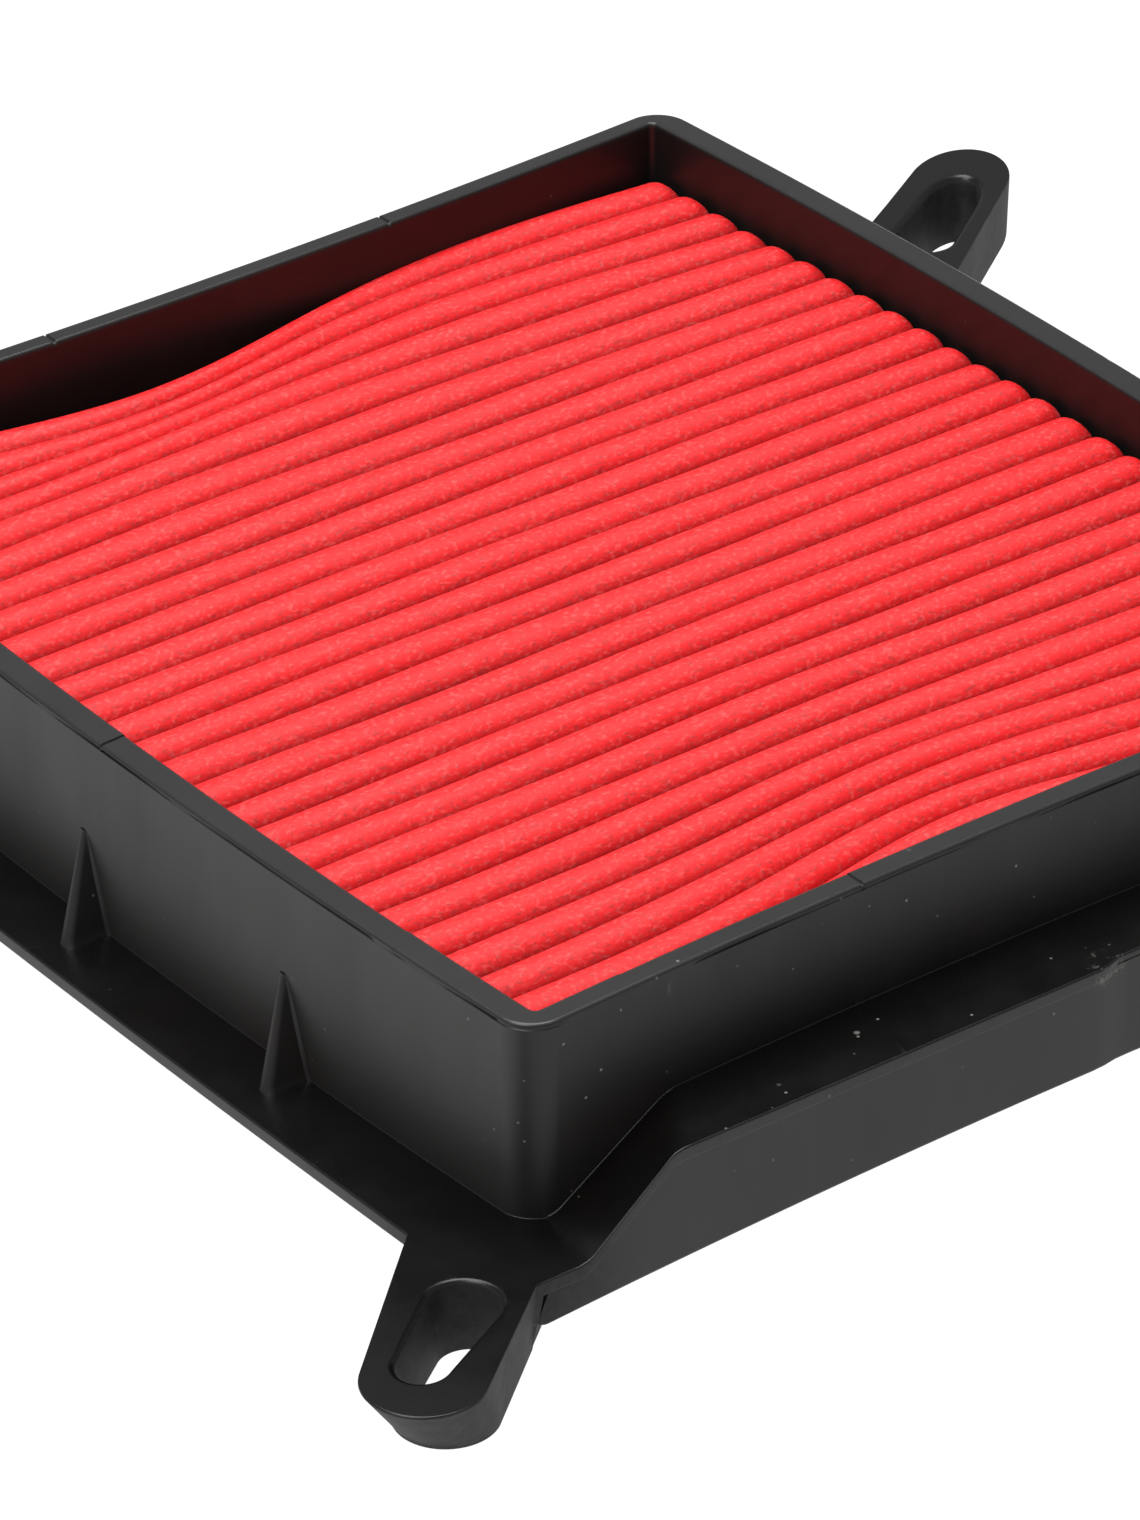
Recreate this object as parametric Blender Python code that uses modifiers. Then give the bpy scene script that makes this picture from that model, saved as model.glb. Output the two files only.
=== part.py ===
"""Panel air filter for a motorcycle airbox.

A moulded casing with bowed walls, a stepped flange, a front apron and two slotted ears
holds a pack of pleated paper. The pack is potted into the casing, backed by a wire
screen on the clean side, and sealed to the airbox by a foam gasket.

The shape is laid out in millimetres in the casing's own axes: x and y start at the near
left corner of the rim, z starts at the gasket's sealing face, X runs along the pleats.
Everything hangs from one empty, which puts the model's origin at the bottom centre of
its bounding box, and is written in metres.
"""
import math

import bmesh
import bpy

MM = 0.001

# ---- driving dimensions, mm ----
RIM_X = 150.0                 # rim outside, along the pleats, at its corners
RIM_Y = 171.0                 # rim outside, across the pleats, at its corners
RIM_Z = 37.0                  # rim above the sealing face
CORNER_R = 5.0
INNER_R = 2.5
WALL = {"left": 4.0, "right": 4.0, "near": 3.4, "far": 2.8}
BOW = {"left": 2.6, "right": 3.0, "near": -1.9, "far": -1.9}     # outward at mid-side

GAP = 0.3                     # left between pieces that touch
GASKET_T = 3.7
GASKET_INSET = 0.6            # gasket inside the walls' outer faces and the shelf's edge
LEDGE_T = 2.2                 # inner shelf that carries the screen
LEDGE_W = 5.0
FLANGE_T = 1.9
FLANGE_LOW_Z = 10.5           # top of the flange on the left side
FLANGE_HIGH_Z = 20.7          # top of the flange on the other three sides
FLANGE_OUT = {"left": 11.2, "right": 12.0, "near": 10.0, "far": 10.0}
FLANGE_BOW = {"left": 1.3, "right": 1.3, "near": 0.0, "far": 0.0}
FLANGE_CORNER_R = 6.0
FLANGE_ROOT = 1.5             # how deep the flange is rooted in the wall
FLANGE_ROOT_R = 1.5           # corner radius down there
RAMP_EDGE_X = (1.5, 14.0)     # where the flange climbs, at its free edge
RAMP_WALL_X = (3.4, 21.0)     # and at the wall

APRON_T = 1.7
APRON_RECESS = 0.4            # apron face behind the flange's edge
APRON_BOTTOM_Z = 3.9
APRON_ARCH = 2.35             # its lower edge rises this much at mid-side

GUSSET_Y = (41.5, 82.0, 122.5)    # at the foot
GUSSET_TOP_Z = 23.2
GUSSET_REACH = 5.8            # out of the wall, on the flange
GUSSET_LEAN = 3.4             # top shifted towards +Y
GUSSET_T = (0.9, 2.2)         # thickness at the top and at the foot

EAR_T = 9.4
EAR_PROUD = 0.1               # ear face above the flange it grows from
EARS = {
    # Each outline runs from a tip centre inward along its angle, with a radius at either
    # end. On the underside the tip is drawn in by the undercut, and the draft is taken
    # off both radii.
    "near": {"top": FLANGE_LOW_Z,
             "body": {"start": (-27.2, -17.0), "angle": 40.5, "length": 28.8,
                      "radii": (7.5, 8.5), "undercut": 6.4, "draft": 0.8},
             "slot": {"start": (-25.0, -15.6), "angle": 34.7, "length": 13.0,
                      "radii": (4.1, 4.1), "undercut": 4.5, "draft": 0.0}},
    "far": {"top": FLANGE_HIGH_Z,
            "body": {"start": (190.0, 155.7), "angle": 208.5, "length": 39.4,
                     "radii": (6.4, 7.5), "undercut": 2.4, "draft": 0.6},
            "slot": {"start": (186.7, 153.0), "angle": 211.0, "length": 15.0,
                     "radii": (3.8, 3.8), "undercut": 0.0, "draft": 0.0}},
}

BAR_X = (51.0, 99.0)          # two bars across the clean side
BAR_W = 3.0

SCREEN_T = 0.8                # wire of the backing screen
SCREEN_PITCH = 12.0
SCREEN_Z = GASKET_T + GAP + LEDGE_T + GAP

PLEATS = 27
PLEAT_PITCH = 5.78
PLEAT_START_Y = 7.6
PLEAT_TOP_Z = 30.4
PLEAT_BOTTOM_Z = 9.4
FOLD_R = 2.3                  # middle of the paper round a fold
PAPER_T = 0.8
POTTING_T = 0.9               # potting strip between pleat ends and wall
POTTING_TOP_Z = 27.5
BEAD_X = (27.0, 75.0, 123.0)  # hot-melt spacer beads across the fold tips
BEAD_W = 3.0

SIDE_STEPS = 8                # straight pieces that make one bowed side
ARC_STEPS = 4                 # straight pieces that make one corner
END_STEPS = 8                 # straight pieces that make the round end of an ear

# ---- sizes that follow ----
CASING_BOTTOM_Z = GASKET_T + GAP
LEDGE_TOP_Z = CASING_BOTTOM_Z + LEDGE_T


# ---- scene, materials and small helpers ----
def clear_scene():
    for obj in list(bpy.data.objects):
        bpy.data.objects.remove(obj, do_unlink=True)
    for collection in list(bpy.data.collections):
        bpy.data.collections.remove(collection)


def new_collection(name):
    collection = bpy.data.collections.new(name)
    bpy.context.scene.collection.children.link(collection)
    return collection


def material(name, colour, roughness, metallic=0.0):
    made = bpy.data.materials.new(name)
    made.use_nodes = True
    shader = made.node_tree.nodes["Principled BSDF"]
    shader.inputs["Base Color"].default_value = (*colour, 1.0)
    shader.inputs["Roughness"].default_value = roughness
    shader.inputs["Metallic"].default_value = metallic
    return made


def add_object(name, bm, collection, finish, origin):
    """Make an object, in metres, from a bmesh laid out in casing millimetres."""
    bmesh.ops.recalc_face_normals(bm, faces=bm.faces)
    bmesh.ops.scale(bm, vec=(MM, MM, MM), verts=bm.verts)
    mesh = bpy.data.meshes.new(name)
    bm.to_mesh(mesh)
    bm.free()
    mesh.materials.append(finish)
    obj = bpy.data.objects.new(name, mesh)
    collection.objects.link(obj)
    obj.parent = origin
    return obj


def loft(sections, closed=False):
    """Skin equal-sized point loops in order; open ends get flat caps."""
    bm = bmesh.new()
    rings = [[bm.verts.new(point) for point in section] for section in sections]
    pairs = list(zip(rings, rings[1:]))
    if closed:
        pairs.append((rings[-1], rings[0]))
    for ring, following in pairs:
        for i in range(len(ring)):
            j = (i + 1) % len(ring)
            bm.faces.new((ring[i], ring[j], following[j], following[i]))
    if not closed:
        bm.faces.new(rings[0])
        bm.faces.new(rings[-1])
    return bm


def combine(obj, helper, operation):
    """Join a helper solid to an object, or cut it away."""
    helper.hide_render = True
    helper.display_type = "WIRE"
    boolean = obj.modifiers.new(operation.lower() + "_" + helper.name, "BOOLEAN")
    boolean.operation = operation
    boolean.object = helper
    boolean.solver = "EXACT"


# ---- outlines of the casing ----
def box(out):
    """Edges of the rim rectangle moved outward: dict of mm per side."""
    return -out["left"], RIM_X + out["right"], -out["near"], RIM_Y + out["far"]


def evenly(start, end, steps):
    return [start + (end - start) * k / steps for k in range(1, steps)]


def bowed(position, start, end, bow):
    t = (position - start) / (end - start)
    return bow * 4.0 * t * (1.0 - t)


def casing_loop(out, radius, bow, ramp=None):
    """Anticlockwise outline with bowed sides and round corners, as (x, y) points.

    A ramp puts two extra points on the near and far sides, where the flange bends.
    """
    x0, x1, y0, y1 = box(out)
    left, right, low, high = x0 + radius, x1 - radius, y0 + radius, y1 - radius
    along_x = evenly(left, right, SIDE_STEPS)
    if ramp:
        along_x = list(ramp) + evenly(ramp[1], right, SIDE_STEPS - 1)
    along_y = evenly(low, high, SIDE_STEPS)

    def corner(cx, cy, first):
        angles = [math.radians(first + 90.0 * k / ARC_STEPS) for k in range(ARC_STEPS + 1)]
        return [(cx + radius * math.cos(a), cy + radius * math.sin(a)) for a in angles]

    points = corner(left, low, 180.0)
    points += [(x, y0 - bowed(x, left, right, bow["near"])) for x in along_x]
    points += corner(right, low, 270.0)
    points += [(x1 + bowed(y, low, high, bow["right"]), y) for y in along_y]
    points += corner(right, high, 0.0)
    points += [(x, y1 + bowed(x, left, right, bow["far"])) for x in reversed(along_x)]
    points += corner(left, high, 90.0)
    points += [(x0 - bowed(y, low, high, bow["left"]), y) for y in reversed(along_y)]
    return points


def inside_wall(extra):
    """Offsets of a loop that lies `extra` mm inside the walls' inner faces."""
    return {side: -thickness - extra for side, thickness in WALL.items()}


def all_sides(value):
    return {side: value for side in WALL}


def inner_wall_x(side, y):
    """Where the inner face of the left or right wall stands at a given y."""
    bulge = bowed(y, CORNER_R, RIM_Y - CORNER_R, BOW[side])
    if side == "left":
        return WALL["left"] - bulge
    return RIM_X - WALL["right"] + bulge


def flange_level(x, ramp):
    climb = (x - ramp[0]) / (ramp[1] - ramp[0])
    return FLANGE_LOW_Z + (FLANGE_HIGH_Z - FLANGE_LOW_Z) * min(max(climb, 0.0), 1.0)


# ---- solids that make up the casing ----
def walls():
    """Walls and inner shelf: one L-shaped section carried round the outline."""
    outer = casing_loop(all_sides(0.0), CORNER_R, BOW)
    inner = casing_loop(inside_wall(0.0), INNER_R, BOW)
    shelf = casing_loop(inside_wall(LEDGE_W), INNER_R, BOW)
    sections = []
    for (ox, oy), (ix, iy), (sx, sy) in zip(outer, inner, shelf):
        sections.append([(ox, oy, RIM_Z), (ox, oy, CASING_BOTTOM_Z),
                         (sx, sy, CASING_BOTTOM_Z), (sx, sy, LEDGE_TOP_Z),
                         (ix, iy, LEDGE_TOP_Z), (ix, iy, RIM_Z)])
    return loft(sections, closed=True)


def flange():
    """Plate round the casing, low on the left and climbing to the other sides."""
    edge = casing_loop(FLANGE_OUT, FLANGE_CORNER_R, FLANGE_BOW, RAMP_EDGE_X)
    root = casing_loop(all_sides(-FLANGE_ROOT), FLANGE_ROOT_R, BOW, RAMP_WALL_X)
    sections = []
    for (ex, ey), (rx, ry) in zip(edge, root):
        edge_z = flange_level(ex, RAMP_EDGE_X)
        root_z = flange_level(rx, RAMP_WALL_X)
        sections.append([(rx, ry, root_z), (ex, ey, edge_z),
                         (ex, ey, edge_z - FLANGE_T), (rx, ry, root_z - FLANGE_T)])
    return loft(sections, closed=True)


def apron():
    """Skirt hanging from the near flange, with an arched lower edge."""
    front_y = APRON_RECESS - FLANGE_OUT["near"]
    body = EARS["near"]["body"]
    start = body["start"][0] + 0.75 * body["length"]
    places = [start, *RAMP_EDGE_X, *evenly(RAMP_EDGE_X[1], RIM_X, SIDE_STEPS), RIM_X]
    sections = []
    for x in places:
        top = flange_level(x, RAMP_EDGE_X) - FLANGE_T / 2
        bottom = APRON_BOTTOM_Z + bowed(x, start, RIM_X, APRON_ARCH)
        sections.append([(x, front_y, top), (x, front_y, bottom),
                         (x, front_y + APRON_T, bottom), (x, front_y + APRON_T, top)])
    return loft(sections)


def gusset(y):
    """Leaning rib, thinner at its top, that stiffens the left flange against the wall."""
    wall_x = -bowed(y, CORNER_R, RIM_Y - CORNER_R, BOW["left"])
    root_z = FLANGE_LOW_Z - FLANGE_T / 2
    profile = ((wall_x + FLANGE_ROOT, GUSSET_TOP_Z), (wall_x - 0.3, GUSSET_TOP_Z),
               (wall_x - GUSSET_REACH, FLANGE_LOW_Z), (wall_x - GUSSET_REACH, root_z),
               (wall_x + FLANGE_ROOT, root_z))
    faces = []
    for side in (-0.5, 0.5):
        face = []
        for x, z in profile:
            up = (z - root_z) / (GUSSET_TOP_Z - root_z)
            thickness = GUSSET_T[1] + (GUSSET_T[0] - GUSSET_T[1]) * up
            face.append((x, y + GUSSET_LEAN * up + side * thickness, z))
        faces.append(face)
    return loft(faces)


def cross_bar(x):
    """Bar of the clean side, from shelf to shelf under the screen."""
    start, end = WALL["near"] + 1.0, RIM_Y - WALL["far"] - 1.0
    low, high = CASING_BOTTOM_Z + GAP, LEDGE_TOP_Z - 0.1
    section = [(x - BAR_W / 2, low), (x + BAR_W / 2, low),
               (x + BAR_W / 2, high), (x - BAR_W / 2, high)]
    return loft([[(px, y, pz) for px, pz in section] for y in (start, end)])


def stadium(shape, z, down=0.0):
    """Round-ended outline of an ear or slot; `down` is 0 at its top face, 1 underneath."""
    start_x, start_y = shape["start"]
    angle = math.radians(shape["angle"])
    points = []
    tip, root = (radius - shape["draft"] * down for radius in shape["radii"])
    for along, radius, first in ((shape["undercut"] * down, tip, 90.0),
                                 (shape["length"], root, -90.0)):
        cx = start_x + along * math.cos(angle)
        cy = start_y + along * math.sin(angle)
        for k in range(END_STEPS + 1):
            turn = angle + math.radians(first + 180.0 * k / END_STEPS)
            points.append((cx + radius * math.cos(turn), cy + radius * math.sin(turn), z))
    return points


def ear_body(ear):
    """Thick ear whose tip is drawn in towards the casing on its underside."""
    top = ear["top"] + EAR_PROUD
    return loft([stadium(ear["body"], top), stadium(ear["body"], top - EAR_T, 1.0)])


def ear_slot(ear):
    """Cutter for the screw slot, standing past both faces of the ear."""
    top = ear["top"] + EAR_PROUD
    past = 1.0
    return loft([stadium(ear["slot"], top + past, -past / EAR_T),
                 stadium(ear["slot"], top - EAR_T - past, 1.0 + past / EAR_T)])


def gasket_room():
    """Cutter that keeps the ears' roots clear of the gasket under the walls."""
    outline = casing_loop(all_sides(GAP - GASKET_INSET), CORNER_R, BOW)
    return loft([[(x, y, z) for x, y in outline] for z in (-1.0, CASING_BOTTOM_Z - 0.02)])


def plan_centre():
    """Middle of the whole outline seen from above: ears at one diagonal, flange behind."""
    near, far = (stadium(ear["body"], 0.0) for ear in EARS.values())
    low = min(x for x, _, _ in near), min(y for _, y, _ in near)
    high = max(x for x, _, _ in far), RIM_Y + FLANGE_OUT["far"]
    return (low[0] + high[0]) / 2, (low[1] + high[1]) / 2


def build_casing(parts, helpers, finish, origin):
    casing = add_object("casing", walls(), parts, finish, origin)
    joins = {"flange": flange(), "apron": apron()}
    for number, y in enumerate(GUSSET_Y, 1):
        joins[f"gusset_{number}"] = gusset(y)
    for number, x in enumerate(BAR_X, 1):
        joins[f"cross_bar_{number}"] = cross_bar(x)
    for side, ear in EARS.items():
        joins[f"{side}_ear"] = ear_body(ear)
    for name, bm in joins.items():
        helper = add_object(name, bm, helpers, finish, origin)
        combine(casing, helper, "UNION")
    cuts = {f"{side}_ear_slot": ear_slot(ear) for side, ear in EARS.items()}
    cuts["gasket_room"] = gasket_room()
    for name, bm in cuts.items():
        helper = add_object(name, bm, helpers, finish, origin)
        combine(casing, helper, "DIFFERENCE")
    return casing


# ---- the pack ----
def pleat_profile():
    """Middle line of the folded paper as (y, z) points, with fat round folds."""
    half = PLEAT_PITCH / 2
    drop = PLEAT_TOP_Z - PLEAT_BOTTOM_Z - PAPER_T - 2 * FOLD_R
    lean = math.asin(2 * FOLD_R / math.hypot(half, drop)) - math.atan2(half, drop)
    steps = 5
    crest_z = PLEAT_TOP_Z - PAPER_T / 2 - FOLD_R
    trough_z = PLEAT_BOTTOM_Z + PAPER_T / 2 + FOLD_R
    span = math.pi + 2 * lean
    points = [(PLEAT_START_Y, trough_z - FOLD_R)]
    for pleat in range(PLEATS):
        start_y = PLEAT_START_Y + pleat * PLEAT_PITCH
        # second half of the trough, then the crest, then the first half of the next trough
        for k in range(1, steps // 2 + 1):
            turn = -math.pi / 2 + (span / 2) * k / (steps // 2)
            points.append((start_y + FOLD_R * math.cos(turn), trough_z + FOLD_R * math.sin(turn)))
        for k in range(steps + 1):
            turn = math.pi + lean - span * k / steps
            points.append((start_y + half + FOLD_R * math.cos(turn),
                           crest_z + FOLD_R * math.sin(turn)))
        for k in range(steps // 2):
            turn = math.pi - lean + (span / 2) * k / (steps // 2)
            points.append((start_y + PLEAT_PITCH + FOLD_R * math.cos(turn),
                           trough_z + FOLD_R * math.sin(turn)))
        points.append((start_y + PLEAT_PITCH, trough_z - FOLD_R))
    return points


def pleated_paper(parts, finish, origin):
    """Open folded sheet that ends just short of both bowed walls, made solid."""
    bm = bmesh.new()
    rows = []
    for y, z in pleat_profile():
        ends = (inner_wall_x("left", y) + POTTING_T + 2 * GAP,
                inner_wall_x("right", y) - POTTING_T - 2 * GAP)
        rows.append([bm.verts.new((x, y, z)) for x in ends])
    for (a, b), (c, d) in zip(rows, rows[1:]):
        bm.faces.new((a, b, d, c))
    paper = add_object("pleated_paper", bm, parts, finish, origin)
    solidify = paper.modifiers.new("paper_thickness", "SOLIDIFY")
    solidify.thickness = PAPER_T * MM
    solidify.offset = 0.0
    solidify.use_even_offset = True
    return paper


def side_potting(side):
    """Strip of potting between the pleat ends and one bowed wall."""
    sign = 1.0 if side == "left" else -1.0
    start, end = PLEAT_START_Y - 1.0, PLEAT_START_Y + PLEATS * PLEAT_PITCH + 1.0
    low, high = SCREEN_Z + SCREEN_T + GAP, POTTING_TOP_Z
    sections = []
    for y in [start, *evenly(start, end, SIDE_STEPS), end]:
        wall_x = inner_wall_x(side, y) + sign * GAP
        pack_x = wall_x + sign * POTTING_T
        sections.append([(wall_x, y, low), (pack_x, y, low), (pack_x, y, high), (wall_x, y, high)])
    return loft(sections)


def end_bead(side):
    """Bead that glues the pack's first or last leaf to the near or far wall."""
    left, right = WALL["left"] + 2.0, RIM_X - WALL["right"] - 2.0
    low, high = SCREEN_Z + SCREEN_T + GAP, SCREEN_Z + SCREEN_T + GAP + 4.0
    clear = PAPER_T / 2 + GAP
    sections = []
    for x in [left, *evenly(left, right, SIDE_STEPS), right]:
        bulge = bowed(x, CORNER_R, RIM_X - CORNER_R, BOW[side])
        if side == "near":
            wall_y = WALL["near"] - bulge + GAP
            pack_y = PLEAT_START_Y - clear
        else:
            wall_y = RIM_Y - WALL["far"] + bulge - GAP
            pack_y = PLEAT_START_Y + PLEATS * PLEAT_PITCH + clear
        sections.append([(x, wall_y, low), (x, pack_y, low), (x, pack_y, high), (x, wall_y, high)])
    return loft(sections)


def spacer_bead(x):
    """Hot-melt bead laid across the fold tips on the clean side."""
    low = SCREEN_Z + SCREEN_T + GAP
    high = PLEAT_BOTTOM_Z - GAP
    start = PLEAT_START_Y + 1.0
    end = PLEAT_START_Y + PLEATS * PLEAT_PITCH - 1.0
    section = [(x - BEAD_W / 2, low), (x + BEAD_W / 2, low),
               (x + BEAD_W / 3, high), (x - BEAD_W / 3, high)]
    return loft([[(px, y, pz) for px, pz in section] for y in (start, end)])


def backing_screen(parts, finish, origin):
    """Flat square mesh of wires that rests on the casing's shelf."""
    margin = 1.0
    x0, x1 = WALL["left"] + margin, RIM_X - WALL["right"] - margin
    y0 = WALL["near"] - BOW["near"] + margin
    y1 = RIM_Y - WALL["far"] + BOW["far"] - margin
    cells_x, cells_y = round((x1 - x0) / SCREEN_PITCH), round((y1 - y0) / SCREEN_PITCH)
    bm = bmesh.new()
    bmesh.ops.create_grid(bm, x_segments=cells_x, y_segments=cells_y, size=0.5)
    bmesh.ops.scale(bm, vec=(x1 - x0 - SCREEN_T, y1 - y0 - SCREEN_T, 1.0), verts=bm.verts)
    middle = ((x0 + x1) / 2, (y0 + y1) / 2, SCREEN_Z + SCREEN_T / 2)
    bmesh.ops.translate(bm, vec=middle, verts=bm.verts)
    screen = add_object("backing_screen", bm, parts, finish, origin)
    wires = screen.modifiers.new("wires", "WIREFRAME")
    wires.thickness = SCREEN_T * MM
    wires.use_replace = True
    wires.use_boundary = True
    wires.use_even_offset = True
    return screen


def foam_gasket():
    """Square-section foam ring under the casing."""
    outer = casing_loop(all_sides(-GASKET_INSET), CORNER_R - GASKET_INSET, BOW)
    inner = casing_loop(inside_wall(LEDGE_W - GASKET_INSET), INNER_R, BOW)
    sections = []
    for (ox, oy), (ix, iy) in zip(outer, inner):
        sections.append([(ox, oy, GASKET_T), (ox, oy, 0.0), (ix, iy, 0.0), (ix, iy, GASKET_T)])
    return loft(sections, closed=True)


def build_pack(parts, finishes, origin):
    pleated_paper(parts, finishes["paper"], origin)
    backing_screen(parts, finishes["wire"], origin)
    pieces = {"foam_gasket": (foam_gasket(), "foam")}
    for side in ("left", "right"):
        pieces[f"pleat_potting_{side}"] = (side_potting(side), "potting")
    for side in ("near", "far"):
        pieces[f"end_bead_{side}"] = (end_bead(side), "potting")
    for number, x in enumerate(BEAD_X, 1):
        pieces[f"spacer_bead_{number}"] = (spacer_bead(x), "hot_melt")
    for name, (bm, finish) in pieces.items():
        add_object(name, bm, parts, finishes[finish], origin)


def main():
    clear_scene()
    parts = new_collection("air_filter")
    helpers = new_collection("joins_and_cutters")
    origin = bpy.data.objects.new("casing_corner", None)
    centre_x, centre_y = plan_centre()
    origin.location = (-centre_x * MM, -centre_y * MM, 0.0)
    parts.objects.link(origin)
    finishes = {
        "plastic": material("black_plastic", (0.025, 0.025, 0.026), 0.45),
        "paper": material("red_paper", (0.75, 0.03, 0.03), 0.8),
        "foam": material("black_foam", (0.03, 0.03, 0.03), 0.95),
        "potting": material("dark_potting", (0.05, 0.04, 0.04), 0.5),
        "hot_melt": material("hot_melt", (0.75, 0.70, 0.55), 0.4),
        "wire": material("zinc_wire", (0.55, 0.55, 0.56), 0.35, 1.0),
    }
    build_casing(parts, helpers, finishes["plastic"], origin)
    build_pack(parts, finishes, origin)


main()
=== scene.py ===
import math

import bmesh
import bpy
import numpy as np
from mathutils import Matrix, Vector


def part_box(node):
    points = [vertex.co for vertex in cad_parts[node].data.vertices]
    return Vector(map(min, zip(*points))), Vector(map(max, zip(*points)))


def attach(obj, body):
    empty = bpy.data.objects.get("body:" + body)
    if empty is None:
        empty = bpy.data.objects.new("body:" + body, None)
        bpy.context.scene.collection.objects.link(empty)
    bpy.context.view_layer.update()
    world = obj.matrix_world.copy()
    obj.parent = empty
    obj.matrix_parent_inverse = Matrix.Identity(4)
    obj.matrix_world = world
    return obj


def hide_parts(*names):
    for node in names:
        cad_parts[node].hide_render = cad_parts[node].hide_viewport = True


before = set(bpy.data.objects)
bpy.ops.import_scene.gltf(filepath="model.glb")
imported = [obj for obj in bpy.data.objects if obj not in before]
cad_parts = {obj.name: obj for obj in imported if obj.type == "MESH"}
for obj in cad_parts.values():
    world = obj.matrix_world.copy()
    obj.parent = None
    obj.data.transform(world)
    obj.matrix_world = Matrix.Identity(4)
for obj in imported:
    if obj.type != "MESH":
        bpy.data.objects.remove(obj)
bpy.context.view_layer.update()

# ---- where the casing stands in the frame, and its main sizes, mm ----
BEAD_END_X, BEAD_START_Y = 6.0, 8.6          # casing x and y of two CAD corners
OFFSET_X = BEAD_END_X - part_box("end_bead_near")[0][0] * 1000.0
OFFSET_Y = BEAD_START_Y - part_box("spacer_bead_1")[0][1] * 1000.0
RIM_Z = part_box("casing")[1][2] * 1000.0
GASKET_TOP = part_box("foam_gasket")[1][2] * 1000.0
BOTTOM_Z = GASKET_TOP + 0.3
LEDGE_Z = BOTTOM_Z + 2.2

RIM_X, RIM_Y = 150.0, 171.0
BOW = {"left": 2.6, "right": 3.0, "near": -1.9, "far": -1.9}
WALL = {"left": 4.0, "right": 4.0, "near": 3.4, "far": 2.8}
CORNER_R, INNER_R = 5.0, 0.8
SHELF_W = 5.0

LOW_Z, HIGH_Z = 10.5, 20.7
FLANGE_T = 1.9
EAR_T = 9.3
RAMP_EDGE, RAMP_WALL = (1.5, 14.0), (3.4, 21.0)
RAMP_SOFT = 0.09
EDGE_LEFT, EDGE_RIGHT, EDGE_NEAR, EDGE_FAR = -11.2, 162.0, -10.0, 181.0
EDGE_BOW, EDGE_R = 1.3, 6.0
KINK_X, KINK_STEP = 79.0, 1.0                # worn step in the near flange's edge

# moulding cuts across the rim's top: place along the wall, half width, depth; and the
# stretches of rim that stand a little lower on their inner side: start, end, step
CUTS = {"near": ((50.3, 0.22, 0.3), (97.0, 0.2, 0.12)), "left": ((81.0, 0.22, 0.35),),
        "far": ((101.5, 0.3, 0.3), (48.8, 0.3, 0.3)), "right": ((81.2, 0.4, 0.25),)}
STEPS = {"near": (16.5, 50.3, 0.12), "left": (26.2, 81.0, 0.14)}
CLOSE = (-0.5, -0.24, -0.12, 0.0, 0.12, 0.24, 0.5)       # extra sections round a cut

GUSSET_FEET = (41.5, 82.0, 122.5)
BARS_X, MELT_X = (51.0, 99.0), (27.0, 75.0, 123.0)
PLEATS, FIRST_CREST, PITCH = 27, 7.8, 6.0
PAPER_TOP, PAPER_LOW = 30.4, 9.4
FOLD_R, SHEET_T = 2.42, 0.5

# Outlines of ears and slots: tip centre x and y, angle of the axis towards the root,
# length to the root centre, half width at tip and at root, and how far the nose stands out.
NEAR_EAR = {"top": (-26.6, -16.95, 40.7, 28.8, 7.45, 8.6, 7.45),
            "bottom": (-21.7, -14.1, 43.3, 22.4, 6.35, 7.8, 6.35)}
FAR_EAR = {"top": (187.65, 154.45, 213.5, 37.0, 6.6, 8.2, 9.3),
           "bottom": (187.55, 154.25, 213.5, 36.8, 6.3, 7.7, 9.0)}
NEAR_SLOT = {"top": (-25.1, -14.5, 32.4, 12.6, 3.2, 4.5, 3.6),
             "bottom": (-20.5, -12.7, 35.0, 8.2, 3.85, 3.9, 3.85), "lip": 0.7, "face": LOW_Z}
FAR_SLOT = {"top": (182.4, 150.2, 213.0, 10.2, 3.5, 3.9, 7.8),
            "bottom": (182.1, 149.6, 213.0, 9.5, 3.4, 3.7, 6.9), "lip": 1.0, "face": HIGH_Z}


def lerp(a, b, t):
    return a + (b - a) * t


def bowed(position, start, end, bow):
    t = (position - start) / (end - start)
    return bow * 4.0 * t * (1.0 - t)


def metres(points):
    """Casing millimetres to frame metres."""
    p = np.asarray(points, dtype=float)
    return (p - np.array([OFFSET_X, OFFSET_Y, 0.0])) / 1000.0


def new_object(name, points, faces, slots, indices=None, smooth=True):
    mesh = bpy.data.meshes.new(name)
    mesh.from_pydata([tuple(p) for p in metres(points)], [], faces)
    mesh.validate()
    for slot_material in slots:
        mesh.materials.append(slot_material)
    if indices is not None:
        mesh.polygons.foreach_set("material_index", indices)
    mesh.polygons.foreach_set("use_smooth", [smooth] * len(mesh.polygons))
    obj = bpy.data.objects.new(name, mesh)
    bpy.context.scene.collection.objects.link(obj)
    return obj


def fix_normals(obj):
    bm = bmesh.new()
    bm.from_mesh(obj.data)
    bmesh.ops.recalc_face_normals(bm, faces=bm.faces)
    bm.to_mesh(obj.data)
    bm.free()


def grid_faces(rows, columns, close_rows=False, close_columns=False):
    """Quads over a row-major grid of points."""
    faces = []
    for i in range(rows if close_rows else rows - 1):
        for j in range(columns if close_columns else columns - 1):
            k, m = (i + 1) % rows, (j + 1) % columns
            faces.append((i * columns + j, i * columns + m, k * columns + m, k * columns + j))
    return faces


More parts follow.
